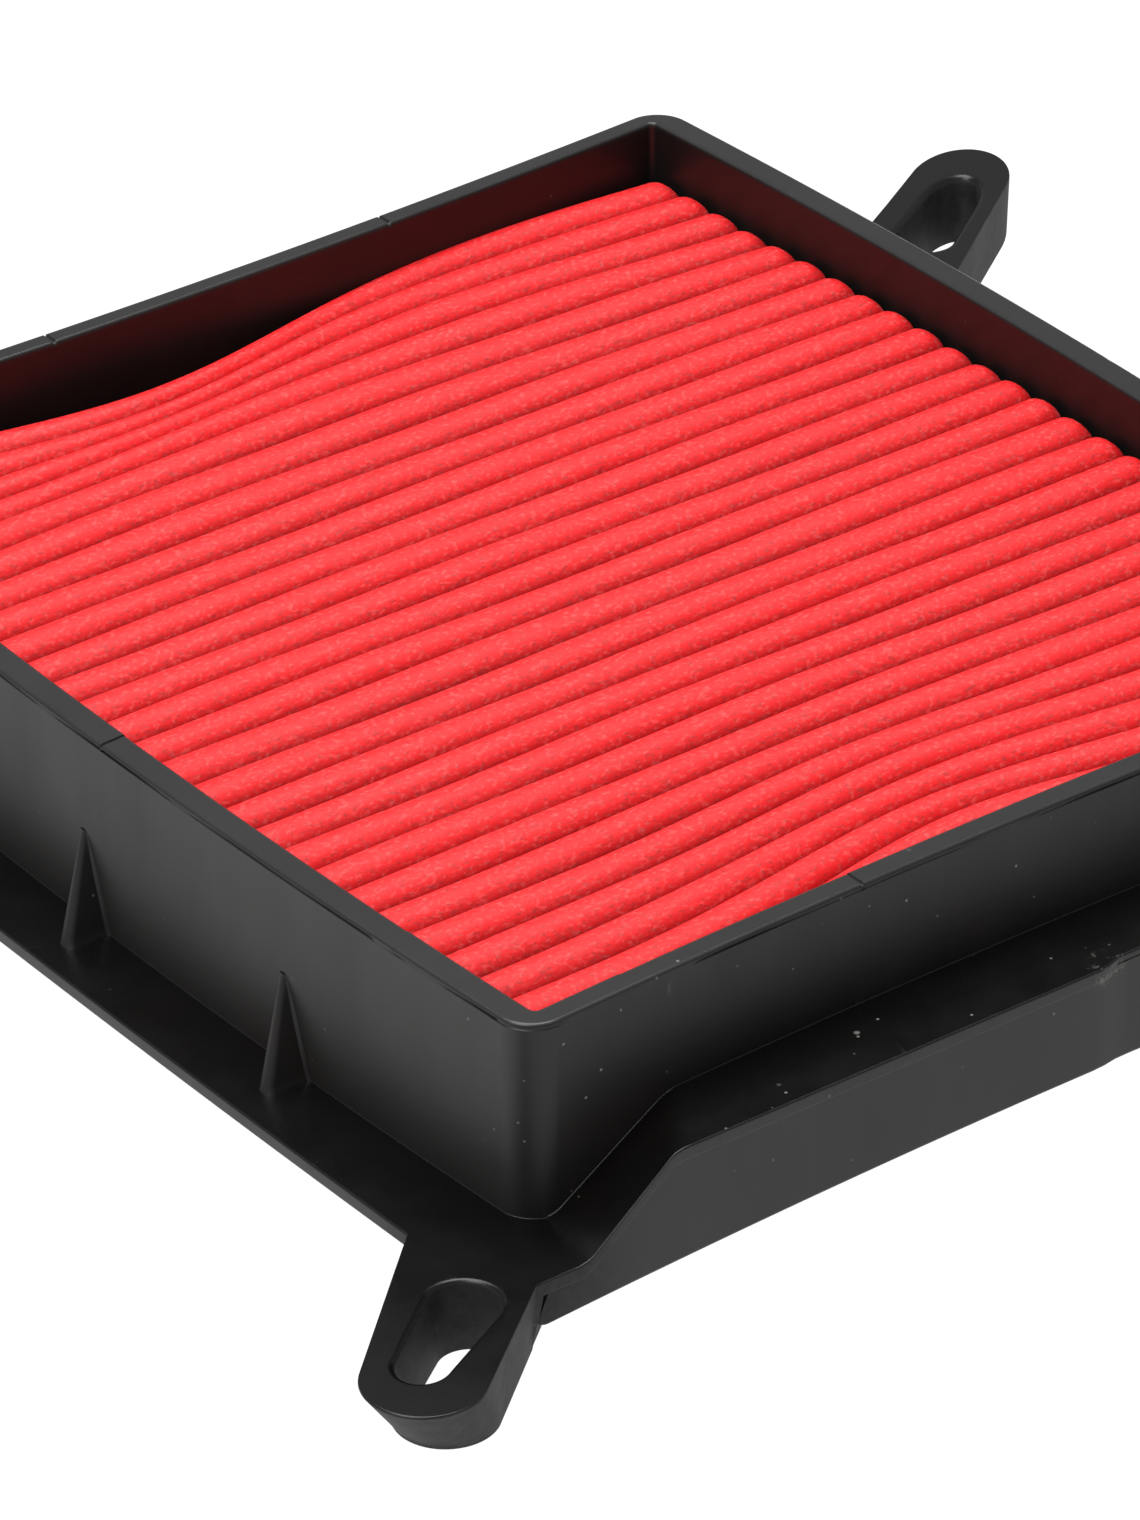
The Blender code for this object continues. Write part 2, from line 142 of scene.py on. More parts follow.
def tube_mesh(sections, closed):
    """Skin equal point loops; open ends are capped."""
    rows, columns = len(sections), len(sections[0])
    faces = grid_faces(rows, columns, closed, True)
    if not closed:
        faces.append(tuple(range(columns)))
        faces.append(tuple((rows - 1) * columns + j for j in reversed(range(columns))))
    return [p for section in sections for p in section], faces


def merge(parts):
    points, faces = [], []
    for part_points, part_faces in parts:
        shift = len(points)
        points += list(part_points)
        faces += [tuple(i + shift for i in face) for face in part_faces]
    return points, faces


# ---- plan of the casing ----
def soft_ramp(u):
    """0 to 1 climb whose two bends are rounded."""
    w = RAMP_SOFT
    if u <= -w:
        return 0.0
    if u < w:
        return (u + w) ** 2 / (4 * w)
    if u <= 1 - w:
        return u
    if u < 1 + w:
        return 1.0 - (1 + w - u) ** 2 / (4 * w)
    return 1.0


def ramp_level(x, ramp):
    return LOW_Z + (HIGH_Z - LOW_Z) * soft_ramp((x - ramp[0]) / (ramp[1] - ramp[0]))


def outline_at(shape, down):
    """The outline at its face (0) or at the underside (1), as centre, axes and sizes."""
    pairs = zip(shape["top"], shape["bottom"])
    x, y, angle, length, tip, root, nose = (lerp(a, b, down) for a, b in pairs)
    a = math.radians(angle)
    axis, across = Vector((math.cos(a), math.sin(a))), Vector((-math.sin(a), math.cos(a)))
    return Vector((x, y)), axis, across, length, tip, root, nose


def ear_side(ear, along, side, down=0.0):
    """Point on an ear's straight side: along 0 at the tip, 1 at the root."""
    start, axis, across, length, tip, root, _ = outline_at(ear, down)
    return tuple(start + axis * length * along + across * side * lerp(tip, root, along))


def ear_tip(ear, turn, down=0.0):
    """Point round an ear's tip: turn 0 at its left side, 1 at its right side."""
    start, axis, across, _, tip, _, nose = outline_at(ear, down)
    a = math.radians(90.0 + 180.0 * turn)
    return tuple(start + axis * nose * math.cos(a) + across * tip * math.sin(a))


def wall_plan(side, t, inset, radius):
    """Point at fraction t of a side of the outline moved inward, and corners likewise."""
    left = WALL["left"] * inset[0] + inset[1]
    right = RIM_X - WALL["right"] * inset[0] - inset[1]
    near = WALL["near"] * inset[0] + inset[1]
    far = RIM_Y - WALL["far"] * inset[0] - inset[1]
    if side == "near":
        x = left + radius + (right - left - 2 * radius) * t
        return x, near - bowed(x, left + radius, right - radius, BOW["near"])
    if side == "far":
        x = right - radius - (right - left - 2 * radius) * t
        return x, far + bowed(x, left + radius, right - radius, BOW["far"])
    if side == "right":
        y = near + radius + (far - near - 2 * radius) * t
        return right + bowed(y, near + radius, far - radius, BOW["right"]), y
    if side == "left":
        y = far - radius - (far - near - 2 * radius) * t
        return left - bowed(y, near + radius, far - radius, BOW["left"]), y
    corner, first = {"near_left": ((left + radius, near + radius), 180.0),
                     "near_right": ((right - radius, near + radius), 270.0),
                     "far_right": ((right - radius, far - radius), 0.0),
                     "far_left": ((left + radius, far - radius), 90.0)}[side]
    a = math.radians(first + 90.0 * t)
    return corner[0] + radius * math.cos(a), corner[1] + radius * math.sin(a)


def near_edge_y(x):
    step = min(max((x - KINK_X + 1.5) / 3.0, 0.0), 1.0)
    back = min(max((x - KINK_X - 12.0) / 3.0, 0.0), 1.0)
    return EDGE_NEAR + KINK_STEP * (step - back)


def edge_x(wall_x):
    """Flange edge's x out from a point of the near or far wall."""
    if wall_x < RAMP_WALL[1]:
        return RAMP_EDGE[0] + (wall_x - RAMP_WALL[0]) * (RAMP_EDGE[1] - RAMP_EDGE[0]) / (
            RAMP_WALL[1] - RAMP_WALL[0])
    share = (wall_x - RAMP_WALL[1]) / (RIM_X - CORNER_R - RAMP_WALL[1])
    return lerp(RAMP_EDGE[1], EDGE_RIGHT - EDGE_R, share)


def stations():
    """Places round the casing: wall parameters, the flange's or ear's edge, and levels."""
    found = []

    def add(side, t, edge, low_edge=None, ear=False, level=(LOW_Z, LOW_Z)):
        wall = wall_plan(side, t, (0.0, 0.0), CORNER_R)
        found.append({"side": side, "t": t, "wall": wall,
                      "inner": wall_plan(side, t, (1.0, 0.0), INNER_R),
                      "shelf": wall_plan(side, t, (1.0, SHELF_W), INNER_R),
                      "edge": edge, "low_edge": low_edge or edge, "ear": ear, "level": level})

    def ramp_pair(edge_x, wall_x):
        return ramp_level(wall_x, RAMP_WALL), ramp_level(edge_x, RAMP_EDGE)

    first, last = CORNER_R, RIM_X - CORNER_R
    high = (HIGH_Z, HIGH_Z)

    # near left corner, under the near ear
    joint_x = -5.86
    steps = 8
    for k in range(steps + 1):
        a = k / steps
        along = lerp(0.946, 0.0, a)
        t = 1.0 - lerp(4.0, 0.0, a) / (RIM_Y - 2 * CORNER_R)
        if k < steps:
            add("left", t, ear_side(NEAR_EAR, along, 1), ear_side(NEAR_EAR, along, 1, 1), True)
    steps = 30
    for k in range(steps + 1):
        a = k / steps
        add("near_left", 0.5 * a, ear_tip(NEAR_EAR, a), ear_tip(NEAR_EAR, a, 1), True)
    steps = 10
    for k in range(1, steps + 1):
        a = k / steps
        add("near_left", lerp(0.5, 0.72, a), ear_side(NEAR_EAR, 0.7035 * a, -1),
            ear_side(NEAR_EAR, 0.64 * a, -1, 1), True)
    steps = 6
    for k in range(1, steps + 1):
        a = k / steps
        x = lerp(joint_x, RAMP_EDGE[0] - 1.1, a)
        add("near_left", lerp(0.722, 0.77, a), (x, EDGE_NEAR))
    steps = 8
    for k in range(1, steps + 1):
        t = lerp(0.77, 1.0, k / steps)
        wall_x = wall_plan("near_left", t, (0.0, 0.0), CORNER_R)[0]
        x = max(edge_x(wall_x), RAMP_EDGE[0] - 1.1 + 0.2 * k)
        add("near_left", t, (x, EDGE_NEAR), level=ramp_pair(x, wall_x))

    # near side, with closer steps where the ramp bends and at the marks
    places = set(np.linspace(0.0, 1.0, 141)[1:-1].round(5))
    for x in (STEPS["near"][0], *(cut[0] for cut in CUTS["near"])):
        for d in CLOSE:
            places.add(round((x + d - first) / (last - first), 5))
    for t in sorted(places):
        wall_x = lerp(first, last, t)
        x = edge_x(wall_x)
        add("near", t, (x, near_edge_y(x)), level=ramp_pair(x, wall_x))

    for k in range(13):
        a = math.radians(270.0 + 90.0 * k / 12)
        add("near_right", k / 12, (EDGE_RIGHT - EDGE_R + EDGE_R * math.cos(a),
                                   EDGE_NEAR + EDGE_R + EDGE_R * math.sin(a)), level=high)

    # right side, out round the far ear and back
    low_y, high_y = EDGE_NEAR + EDGE_R, EDGE_FAR - EDGE_R

    def right_edge(y):
        return EDGE_RIGHT + bowed(y, low_y, high_y, EDGE_BOW), y

    def right_t(y):
        return (y - CORNER_R) / (RIM_Y - 2 * CORNER_R)

    for k in range(1, 111):
        a = k / 110
        add("right", right_t(lerp(CORNER_R, 125.9, a)), right_edge(lerp(low_y, 127.9, a)), level=high)
    for k in range(11):
        a = k / 10
        along = lerp(0.944, 0.0, a)
        add("right", right_t(lerp(126.1, 131.0, a)), ear_side(FAR_EAR, along, 1),
            ear_side(FAR_EAR, along, 1, 1), True, high)
    for k in range(1, 31):
        a = k / 30
        add("right", right_t(lerp(131.0, 139.0, a)), ear_tip(FAR_EAR, a),
            ear_tip(FAR_EAR, a, 1), True, high)
    for k in range(1, 11):
        a = k / 10
        along = lerp(0.0, 0.672, a)
        add("right", right_t(lerp(139.0, 143.0, a)), ear_side(FAR_EAR, along, -1),
            ear_side(FAR_EAR, along, -1, 1), True, high)
    for k in range(1, 21):
        a = k / 20
        add("right", right_t(lerp(143.2, RIM_Y - CORNER_R, a)),
            right_edge(lerp(146.9, high_y, a)), level=high)

    for k in range(1, 13):
        a = math.radians(90.0 * k / 12)
        add("far_right", k / 12, (EDGE_RIGHT - EDGE_R + EDGE_R * math.cos(a),
                                  EDGE_FAR - EDGE_R + EDGE_R * math.sin(a)), level=high)

    places = set(np.linspace(0.0, 1.0, 121)[1:-1].round(5))
    for x, _, _ in CUTS["far"]:
        for d in (-0.6, -0.3, -0.1, 0.1, 0.3, 0.6):
            places.add(round((last - x - d) / (last - first), 5))
    for t in sorted(places):
        wall_x = lerp(last, first, t)
        x = edge_x(wall_x)
        add("far", t, (x, EDGE_FAR), level=ramp_pair(x, wall_x))
    for k in range(1, 7):
        t = lerp(0.0, 0.24, k / 6)
        wall_x = wall_plan("far_left", t, (0.0, 0.0), CORNER_R)[0]
        x = lerp(2.6, 0.2, k / 6)
        add("far_left", t, (x, EDGE_FAR), level=ramp_pair(x, wall_x))
    for k in range(1, 15):
        a = math.radians(90.0 + 90.0 * k / 14)
        add("far_left", lerp(0.24, 1.0, k / 14), (EDGE_LEFT + EDGE_R + EDGE_R * math.cos(a),
                                                 EDGE_FAR - EDGE_R + EDGE_R * math.sin(a)))

    # left side, down to the near ear
    places = set(np.linspace(0.0, 1.0, 141)[1:].round(5))
    for y in (CUTS["left"][0][0], STEPS["left"][0]):
        for d in CLOSE:
            places.add(round((166.0 - y - d) / 156.8, 5))
    for a in sorted(places):
        wall_y = lerp(166.0, 9.2, a)
        y = lerp(175.0, 7.45, a)
        add("left", (166.0 - wall_y) / (RIM_Y - 2 * CORNER_R),
            (EDGE_LEFT - bowed(y, low_y, high_y, EDGE_BOW), y))
    return found


def mark_depth(position, marks):
    """How deep the small moulding cuts across the rim are at one place."""
    depth = 0.0
    for place, width, deep in marks:
        depth = max(depth, deep * max(0.0, 1.0 - (abs(position - place) / width) ** 2))
    return depth


def crease_depth(side, position):
    """The fine parting groove under the rim's outer edge comes and goes along a wall."""
    if side == "left":
        fade = 0.55 + 0.45 * math.sin(position * 0.21 + 0.8) * math.sin(position * 0.047 + 1.0)
        gap = 0.15 if 24.5 < position < 27.5 else 1.0
        return 0.34 * fade * gap
    if side == "near":
        fade = 0.5 + 0.5 * math.sin(position * 0.17 + 2.2) * math.sin(position * 0.06)
        return 0.26 * max(fade, 0.0) * (0.1 if position < 14 or 17.5 < position < 26 else 1.0)
    if side == "near_left":
        return 0.10
    return 0.08


def section(st):
    """One closed section through wall, flange or ear, and inner shelf."""
    side = st["side"]
    wall, inner = Vector(st["wall"]), Vector(st["inner"])
    edge, low_edge = Vector(st["edge"]), Vector(st["low_edge"])
    shelf = Vector(st["shelf"])
    thickness = (inner - wall).length
    inward = (inner - wall).normalized()
    outward = (edge - wall).normalized()
    reach = (edge - wall).length
    along = wall.x if side in ("near", "far") else wall.y
    cut = mark_depth(along, CUTS.get(side, ()))
    low_from, low_to, step = STEPS.get(side, (0.0, 0.0, 0.0))
    if not low_from < along < low_to:
        step = 0.0
    groove = crease_depth(side, along)
    points = []

    def rim(s, z):
        p = wall + inward * s
        points.append((p.x, p.y, z))

    top = RIM_Z - cut
    rim(thickness, RIM_Z - 4.0)
    rim(thickness, RIM_Z - 0.75)
    rim(thickness - 0.06 - step, top - 0.38)
    rim(thickness - 0.2 - step, top - 0.14)
    rim(thickness - 0.48 - step, top - 0.02)
    rim(thickness - 0.7 - step, top)
    rim(thickness * 0.5, top - 0.02)
    rim(0.62, top)
    rim(0.42, top - 0.02)
    rim(0.2, top - 0.12)
    rim(0.07, top - 0.28)
    rim(0.03, top - 0.42)
    rim(0.03 + groove, top - 0.5)
    rim(0.03 + groove, top - 0.72)
    rim(0.0, RIM_Z - 0.86)
    rim(0.0, RIM_Z - 1.2)

    root_z, edge_z = st["level"]
    slope = (edge_z - root_z) / reach
    ramp = abs(slope) > 0.02 or LOW_Z + 0.05 < root_z < HIGH_Z - 0.05
    fillet = 0.25 if ramp else 0.12

    def out(s, z):
        p = wall + outward * s
        points.append((p.x, p.y, z))

    for z in (0.25, 0.5, 0.75):
        out(0.0, lerp(RIM_Z - 1.2, root_z + fillet, z))
    for k in range(6):
        a = math.radians(90.0 * k / 5)
        s = fillet * (1 - math.cos(a))
        out(s, root_z + slope * s + fillet * (1 - math.sin(a)))
    rounding = 0.3 if st["ear"] else 0.32
    for s in (0.35, 0.7):
        out(lerp(fillet, reach - rounding, s), root_z + slope * lerp(fillet, reach - rounding, s))
    for k in range(5):
        a = math.radians(90.0 * k / 4)
        s = reach - rounding * (1 - math.sin(a))
        out(s, root_z + slope * s - rounding * (1 - math.cos(a)))

    thick = EAR_T if st["ear"] else FLANGE_T
    soft = 0.8 if st["ear"] else 0.35
    low_out = (low_edge - wall).normalized()
    low_reach = (low_edge - wall).length
    edge_low = edge_z - thick
    root_low = root_z - thick

    def under(s, z):
        p = wall + low_out * s
        points.append((p.x, p.y, z))

    for k in range(5):
        a = math.radians(90.0 * k / 4)
        under(low_reach - soft * (1 - math.cos(a)), edge_low + soft * (1 - math.sin(a)))
    low_slope = (edge_low - root_low) / low_reach
    under(low_reach * 0.6, root_low + low_slope * low_reach * 0.6)
    if st["ear"]:
        under(1.0, root_low)
        under(0.3, root_low + 0.02)
        under(0.0, root_low + 0.3)
    else:
        under(1.0, root_low + low_slope)
        under(0.3, root_low - 0.25)
        under(0.0, root_low - 0.9)
    rim(0.0, BOTTOM_Z + 0.35)
    rim(0.1, BOTTOM_Z + 0.1)
    rim(0.35, BOTTOM_Z)
    towards = (shelf - inner).normalized()
    for s, z in ((0.3, BOTTOM_Z), (0.05, BOTTOM_Z + 0.25), (0.05, LEDGE_Z - 0.25), (0.3, LEDGE_Z)):
        p = shelf - towards * s
        points.append((p.x, p.y, z))
    for s, z in ((0.8, LEDGE_Z), (0.2, LEDGE_Z + 0.2), (0.0, LEDGE_Z + 0.8)):
        p = inner + towards * s
        points.append((p.x, p.y, z))
    rim(thickness, 15.0)
    rim(thickness, 24.0)
    return points


def gusset_mesh(foot_y):
    """Leaning rib: level slices from its foot up to where it runs out on the wall."""
    top_z, lean, reach = 23.2, 3.4, 5.8
    sections = []
    for z in (LOW_Z - 0.4, LOW_Z, LOW_Z + 0.25, LOW_Z + 0.7, 12.0, 14.0, 16.0, 18.0, 20.0, 21.5,
              22.4, 22.9, 23.15):
        up = (z - LOW_Z) / (top_z - LOW_Z)
        length = reach * (1.0 - up) + 0.18
        half = lerp(1.12, 0.5, max(up, 0.0)) + max(0.0, 0.5 - (z - LOW_Z)) * 0.5
        y = foot_y + lean * up
        flare = 0.7 * min(1.0, length / 2.0)
        wall_x = -bowed(y, CORNER_R, RIM_Y - CORNER_R, BOW["left"])
        nose = min(half, length * 0.8)
        loop = [(wall_x + 0.6, y - half - flare), (wall_x - 0.02, y - half - flare),
                (wall_x - 0.12 * flare - 0.02, y - half - flare * 0.45),
                (wall_x - 0.45 * flare, y - half - flare * 0.12)]
        for k in range(9):
            a = math.radians(-90.0 + 180.0 * k / 8)
            loop.append((wall_x - length + nose - nose * math.cos(a), y + half * math.sin(a)))
        loop += [(wall_x - 0.45 * flare, y + half + flare * 0.12),
                 (wall_x - 0.12 * flare - 0.02, y + half + flare * 0.45),
                 (wall_x - 0.02, y + half + flare), (wall_x + 0.6, y + half + flare)]
        sections.append([(px, py, z) for px, py in loop])
    return tube_mesh(sections, False)


def apron_mesh():
    """Skirt under the near flange, with an arched, softly rounded lower edge."""
    front, thick = EDGE_NEAR + 0.4, 1.7
    start, end = -5.3, RIM_X
    places = [start, -5.2, -5.0, -4.7, -4.2, -3.6, -2.8, -1.8, -0.5, *np.linspace(0.4, 15.0, 25),
              *np.linspace(17.0, end - 1.0, 70), end]
    sections = []
    for x in places:
        top = ramp_level(x, RAMP_EDGE) - FLANGE_T / 2
        bottom = 3.9 + bowed(x, start, RIM_X, 2.35)
        if x > end - 1.2:
            bottom += 0.4
        if x < -3.9:                         # the free corner beside the ear is rounded
            bottom += 1.4 - math.sqrt(max(1.4 ** 2 - (-3.9 - x) ** 2, 0.0))
        shift = near_edge_y(x) - EDGE_NEAR
        lean = max(0.0, 1.0 - (x - start) / 3.0) * 0.45      # its end leans away from the ear
        loop = [(front, top), (front, lerp(bottom, top, 0.4)), (front, bottom + 0.55),
                (front + 0.12, bottom + 0.2), (front + 0.4, bottom), (front + thick - 0.35, bottom),
                (front + thick - 0.08, bottom + 0.12), (front + thick, bottom + 0.4),
                (front + thick, top)]
        sections.append([(x + lean * (z - bottom), y + 0.5 * shift, z) for y, z in loop])
    return tube_mesh(sections, False)


def ear_web_mesh():
    """The near ear's right side runs on under the flange, behind the apron's free end."""
    sections = []
    for along in np.linspace(0.5, 1.0, 8):
        loop = []
        for inset, z in ((0.0, LOW_Z - 1.0), (0.0, LOW_Z - EAR_T + 0.6), (0.2, LOW_Z - EAR_T + 0.15),
                         (0.6, LOW_Z - EAR_T), (2.0, LOW_Z - EAR_T), (2.0, LOW_Z - 1.0)):
            x, y = ear_side(NEAR_EAR, along, -1, (LOW_Z - z) / EAR_T)
            loop.append((x - 0.65 * (inset + 0.02), y + 0.76 * (inset + 0.02), z))
        sections.append(loop)
    return tube_mesh(sections, False)


def bar_mesh(x):
    """Bar across the clean side, with rounded long edges."""
    low, high, half, r = BOTTOM_Z + 0.3, LEDGE_Z - 0.1, 1.5, 0.4
    loop = [(-half, high), (-half, low + r), (-half + r * 0.3, low + r * 0.3), (-half + r, low),
            (half - r, low), (half - r * 0.3, low + r * 0.3), (half, low + r), (half, high)]
    return tube_mesh([[(x + px, y, z) for px, z in loop] for y in np.linspace(4.4, 167.2, 12)], False)


def slot_cutter(slot):
    """Lofted slot with a rounded lip at its face and a small one underneath."""
    face, lip = slot["face"], slot["lip"]
    back = face - EAR_T
    levels = [(face + 0.8, lip + 0.1)]
    for k in range(7):
        a = math.radians(90.0 * k / 6)
        levels.append((face - lip * (1 - math.cos(a)), lip * (1 - math.sin(a))))
    levels += [(lerp(face - lip, back, 0.5), 0.0), (back + 0.3, 0.0), (back + 0.1, 0.04),
               (back, 0.15), (back - 0.8, 0.3)]
    sections = []
    for z, grow in levels:
        depth = min(max((face - z) / EAR_T, 0.0), 1.0)
        start, axis, across, length, tip, root, nose = outline_at(slot, depth)
        ends = ((start, 90.0, nose, tip), (start + axis * length, -90.0, root, root))
        loop = []
        for centre, first, forward, half in ends:
            for k in range(25):
                a = math.radians(first + 180.0 * k / 24)
                p = centre + axis * (forward + grow) * math.cos(a)
                p += across * (half + grow) * math.sin(a)
                loop.append((p.x, p.y, z))
        sections.append(loop)
    return tube_mesh(sections, False)


# ---- materials ----
class Nodes:
    """Short hand for one material's node tree."""

    def __init__(self, name):
        self.material = bpy.data.materials.new(name)
        self.material.use_nodes = True
        self.tree = self.material.node_tree
        self.shader = self.tree.nodes["Principled BSDF"]
        geometry = self.add("ShaderNodeNewGeometry")
        self.place, self.facing = geometry.outputs["Position"], geometry.outputs["Normal"]

    def add(self, kind, **values):
        node = self.tree.nodes.new(kind)
        for key, value in values.items():
            setattr(node, key, value)
        return node

    def wire(self, source, target):
        self.tree.links.new(source, target)

    def put(self, target, value):
        if isinstance(value, bpy.types.NodeSocket):
            self.wire(value, target)
        else:
            target.default_value = value

    def math(self, operation, a, b=0.0, clamp=False):
        node = self.add("ShaderNodeMath", operation=operation, use_clamp=clamp)
        self.put(node.inputs[0], a)
        self.put(node.inputs[1], b)
        return node.outputs[0]

    def stretch(self, scale, turn=(0.0, 0.0, 0.0)):
        node = self.add("ShaderNodeMapping")
        self.wire(self.place, node.inputs["Vector"])
        node.inputs["Scale"].default_value = scale
        node.inputs["Rotation"].default_value = turn
        return node.outputs[0]

    def split(self, vector):
        node = self.add("ShaderNodeSeparateXYZ")
        self.wire(vector, node.inputs[0])
        return node.outputs

    def noise(self, scale, detail=2.0, rough=0.5, vector=None):
        node = self.add("ShaderNodeTexNoise")
        self.wire(vector or self.place, node.inputs["Vector"])
        node.inputs["Scale"].default_value = scale
        node.inputs["Detail"].default_value = detail
        node.inputs["Roughness"].default_value = rough
        return node.outputs["Fac"]

    def spots(self, scale, vector=None):
        node = self.add("ShaderNodeTexVoronoi")
        self.wire(vector or self.place, node.inputs["Vector"])
        node.inputs["Scale"].default_value = scale
        return node.outputs["Distance"]

    def band(self, value, low, high, to_low=0.0, to_high=1.0):
        node = self.add("ShaderNodeMapRange", clamp=True)
        self.wire(value, node.inputs["Value"])
        for key, number in (("From Min", low), ("From Max", high),
                            ("To Min", to_low), ("To Max", to_high)):
            node.inputs[key].default_value = number
        return node.outputs["Result"]

    def mix(self, factor, a, b):
        node = self.add("ShaderNodeMix", data_type="RGBA")
        self.put(node.inputs["Factor"], factor)
        self.put(node.inputs[6], a if isinstance(a, bpy.types.NodeSocket) else (*a, 1.0))
        self.put(node.inputs[7], b if isinstance(b, bpy.types.NodeSocket) else (*b, 1.0))
        return node.outputs[2]

    def bump(self, height, strength, distance, normal=None):
        node = self.add("ShaderNodeBump")
        self.wire(height, node.inputs["Height"])
        node.inputs["Strength"].default_value = strength
        node.inputs["Distance"].default_value = distance
        if normal is not None:
            self.wire(normal, node.inputs["Normal"])
        return node.outputs["Normal"]

    def near(self, point, radius):
        """1 at a place given in casing mm, 0 beyond the radius in mm."""
        node = self.add("ShaderNodeVectorMath", operation="DISTANCE")
        self.wire(self.place, node.inputs[0])
        node.inputs[1].default_value = tuple(metres([point])[0])
        return self.band(node.outputs["Value"], radius / 1000.0, 0.0)

    def finish(self, colour=None, roughness=None, normal=None, **values):
        for key, value in (("Base Color", colour), ("Roughness", roughness), ("Normal", normal)):
            if value is not None:
                self.put(self.shader.inputs[key], value)
        for key, value in values.items():
            self.shader.inputs[key.replace("_", " ")].default_value = value
        return self.material


def casing_plastic():
    m = Nodes("moulded_black_plastic")
    cloud = m.noise(38.0, 3.0, 0.55)
    grain = m.noise(2600.0, 2.0, 0.6)
    streak = m.noise(120.0, 4.0, 0.6, m.stretch((1.0, 1.0, 0.25)))
    colour = m.mix(m.band(cloud, 0.3, 0.7), (0.0058, 0.0056, 0.0054), (0.0095, 0.0091, 0.0088))
    # faint warm, reddish clouds
    warm = m.band(m.noise(55.0, 2.0, 0.5), 0.5, 0.72, 0.0, 0.6)
    colour = m.mix(warm, colour, (0.0145, 0.0095, 0.0082))
    # painted light: the outward face of the left wall is painted a lighter grey in clouds; painted
    # reflection: the rim's top is painted a lighter grey; painted shade: flat tops are painted near
    # black, and they are glossier
    facing, place = m.split(m.facing), m.split(m.place)
    left_wall = m.math("MULTIPLY", m.band(facing["X"], -0.75, -0.95),
                       m.band(place["X"], -0.060, -0.070))
    # painted light: lighter grey on the left wall's outward face, in clouds
    left_wall_painted_light = m.math("MULTIPLY", left_wall, m.band(cloud, 0.25, 0.75, 0.55, 1.0))
    colour = m.mix(m.math("MULTIPLY", left_wall_painted_light, 0.9), colour, (0.027, 0.0255, 0.0245))
    flat = m.band(facing["Z"], 0.5, 0.75)
    rim = m.math("MULTIPLY", flat, m.band(place["Z"], 0.0355, 0.0364))
    # painted shade: upward-facing faces (flange, ear and rim tops) painted near black
    colour = m.mix(m.math("MULTIPLY", flat, 0.75), colour, (0.0010, 0.0010, 0.0010))
    # painted reflection: the rim's top is painted a lighter grey, in clouds
    rim = m.math("MULTIPLY", rim, m.band(cloud, 0.3, 0.7, 0.75, 1.0))
    colour = m.mix(rim, colour, (0.031, 0.030, 0.030))
    # the ears' sides are coarser and greyer, where the mould was spark-eroded
    ears = m.math("MAXIMUM", m.near((-22.0, -15.0, 6.0), 32.0), m.near((184.0, 152.0, 16.0), 40.0))
    ears = m.math("MULTIPLY", ears, 2.6, True)
    side = m.math("MULTIPLY", ears, m.band(facing["Z"], 0.6, 0.3))
    mottle = m.math("MULTIPLY", side, m.band(m.noise(420.0, 4.0, 0.7), 0.38, 0.66))
    colour = m.mix(m.math("MULTIPLY", mottle, 0.8), colour, (0.028, 0.026, 0.025))
    # pale dust specks and short scuffs, more of them at the near corner and on the near wall
    corner = m.near((2.0, 2.0, 31.0), 22.0)
    near_wall = m.near((45.0, 2.0, 31.0), 45.0)
    close = m.math("MAXIMUM", corner, m.math("MULTIPLY", near_wall, 0.75))
    worn = m.math("MULTIPLY", m.noise(90.0, 2.0, 0.5), m.math("ADD", close, 0.68))
    speck = m.band(m.spots(310.0), 0.075, 0.03)
    speck = m.math("MULTIPLY", speck, m.band(worn, 0.38, 0.52))
    slit = m.band(m.spots(170.0, m.stretch((1.0, 1.0, 0.22), (0.1, 0.2, 0.0))), 0.08, 0.03)
    slit = m.math("MULTIPLY", slit, m.band(worn, 0.56, 0.76, 0.0, 0.8))
    rub = m.band(m.noise(700.0, 4.0, 0.7), 0.52, 0.7)
    rub = m.math("MULTIPLY", rub, m.near((78.6, -9.6, 20.6), 3.4))
    rub = m.math("MULTIPLY", rub, 2.0, True)
    marks = m.math("MAXIMUM", m.math("MAXIMUM", speck, slit), rub)
    colour = m.mix(m.math("MULTIPLY", marks, 0.75), colour, (0.30, 0.29, 0.27))
    rough = m.math("ADD", m.band(streak, 0.3, 0.7, 0.42, 0.50), m.math("MULTIPLY", marks, 0.3), True)
    rough = m.math("ADD", rough, m.math("MULTIPLY", flat, -0.18), True)
    rough = m.math("ADD", rough, m.math("MULTIPLY", side, 0.26), True)
    normal = m.bump(grain, 0.08, 0.00010)
    normal = m.bump(m.noise(24.0, 2.0, 0.5), 0.12, 0.0008, normal)
    return m.finish(colour, rough, normal, Specular_IOR_Level=0.40)


